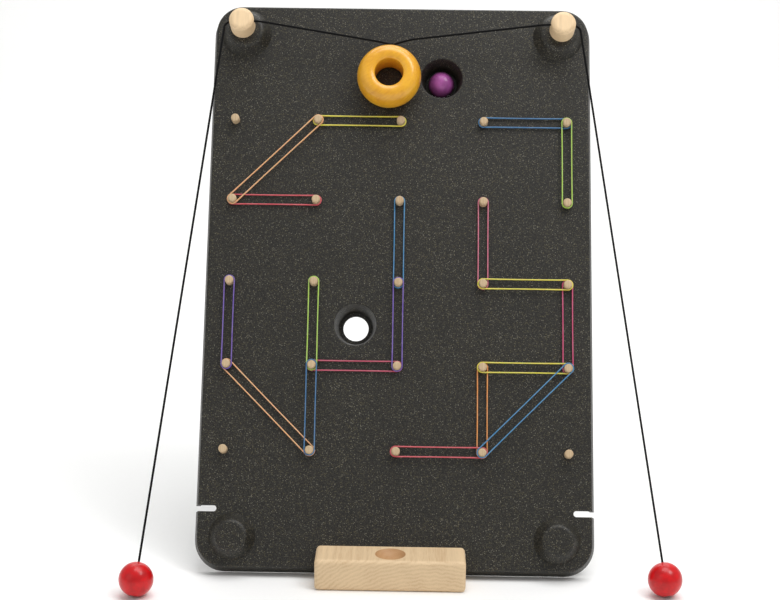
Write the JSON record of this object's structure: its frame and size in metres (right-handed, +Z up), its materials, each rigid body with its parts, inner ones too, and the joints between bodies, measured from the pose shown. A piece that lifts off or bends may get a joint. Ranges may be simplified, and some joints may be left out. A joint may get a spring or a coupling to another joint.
{
  "type": "cord hauled ring and ball peg maze",
  "caption": "Leaning moulded board with wooden pegs, coloured rubber band walls, two cups, and a wooden ring hauled by two cords with ball handles.",
  "frame": {"origin": "middle of the underside of the wooden stand", "axes": "+Z up, +X to the player's right along the peg rows, the player sits at -Y and the board leans back towards +Y"},
  "size_m": [0.3985, 0.2372, 0.4027],
  "materials": {
    "board_plastic": "fine speckled moulded plastic, matte",
    "peg_wood": "turned beech, unvarnished",
    "stand_wood": "planed beech",
    "screw_steel": "zinc plated",
    "ring_lacquer": "yellow stained and waxed turned wood",
    "red_lacquer": "gloss red lacquer on a wooden ball",
    "purple_lacquer": "satin purple lacquer on a wooden ball",
    "cord_braid": "black braided cord",
    "rubber_yellow": "coloured rubber band",
    "rubber_peach": "coloured rubber band",
    "rubber_coral": "coloured rubber band",
    "rubber_blue": "coloured rubber band",
    "rubber_lime": "coloured rubber band",
    "rubber_teal": "coloured rubber band",
    "rubber_purple": "coloured rubber band",
    "rubber_crimson": "coloured rubber band",
    "rubber_pink": "coloured rubber band",
    "rubber_magenta": "coloured rubber band",
    "rubber_orange": "coloured rubber band"
  },
  "bodies": {
    "board": {"board_shell": "board_plastic", "peg_r0_c0": "peg_wood", "peg_r0_c1": "peg_wood", "peg_r0_c2": "peg_wood", "peg_r0_c3": "peg_wood", "peg_r0_c4": "peg_wood", "peg_r1_c0": "peg_wood", "peg_r1_c1": "peg_wood", "peg_r1_c2": "peg_wood", "peg_r1_c3": "peg_wood", "peg_r1_c4": "peg_wood", "peg_r2_c0": "peg_wood", "peg_r2_c1": "peg_wood", "peg_r2_c2": "peg_wood", "peg_r2_c3": "peg_wood", "peg_r2_c4": "peg_wood", "peg_r3_c0": "peg_wood", "peg_r3_c1": "peg_wood", "peg_r3_c2": "peg_wood", "peg_r3_c3": "peg_wood", "peg_r3_c4": "peg_wood", "peg_r4_c0": "peg_wood", "peg_r4_c1": "peg_wood", "peg_r4_c2": "peg_wood", "peg_r4_c3": "peg_wood", "peg_r4_c4": "peg_wood", "band_yellow_top": "rubber_yellow", "band_peach_corner": "rubber_peach", "band_coral_upper": "rubber_coral", "band_blue_top": "rubber_blue", "band_lime_right": "rubber_lime", "band_teal_middle": "rubber_teal", "band_purple_middle": "rubber_purple", "band_crimson_middle": "rubber_crimson", "band_lime_left": "rubber_lime", "band_blue_left": "rubber_blue", "band_peach_lower": "rubber_peach", "band_purple_left": "rubber_purple", "band_pink_right": "rubber_pink", "band_yellow_right": "rubber_yellow", "band_magenta_right": "rubber_magenta", "band_yellow_lower": "rubber_yellow", "band_orange_lower": "rubber_orange", "band_cyan_lower": "rubber_teal", "band_coral_lower": "rubber_coral", "left_post": "peg_wood", "right_post": "peg_wood", "post_screws": "screw_steel", "stand_block": "stand_wood", "left_cord_inner": "cord_braid", "left_cord_outer": "cord_braid", "right_cord_inner": "cord_braid", "right_cord_outer": "cord_braid"},
    "haul": {"cord_junction": "cord_braid"},
    "ring": {"maze_ring": "ring_lacquer"},
    "left_ball": {"left_pull_ball": "red_lacquer", "left_ball_knot": "cord_braid"},
    "right_ball": {"right_pull_ball": "red_lacquer", "right_ball_knot": "cord_braid"},
    "goal_ball": {"goal_ball": "purple_lacquer"}
  },
  "joints": [
    {"name": "ring_traverse", "type": "slide", "parent": "board", "child": "haul", "axis": [1, 0, 0], "range_m": [0, 0.085], "deforming": ["left_cord_inner", "right_cord_inner"]},
    {"name": "ring_swing", "type": "hinge", "parent": "haul", "child": "ring", "pos_m": [-0.0055, 0.09048, 0.37574], "axis": [0, -0.9135, 0.4067], "range_deg": [-10, 10]},
    {"name": "left_ball_haul", "type": "slide", "parent": "board", "child": "left_ball", "axis": [0.1069, 0.4338, 0.8947], "range_m": [0, 0.085], "deforming": ["left_cord_outer"]},
    {"name": "right_ball_haul", "type": "slide", "parent": "board", "child": "right_ball", "axis": [-0.1367, 0.4019, 0.9054], "range_m": [0, 0.09], "deforming": ["right_cord_outer"]},
    {"name": "goal_ball_out", "type": "slide", "parent": "board", "child": "goal_ball", "axis": [0, -0.9135, 0.4067], "range_m": [0, 0.04]}
  ],
  "couplings": [
    {"joint": "left_ball_haul", "follows": "ring_traverse", "ratio": 0.99}
  ]
}
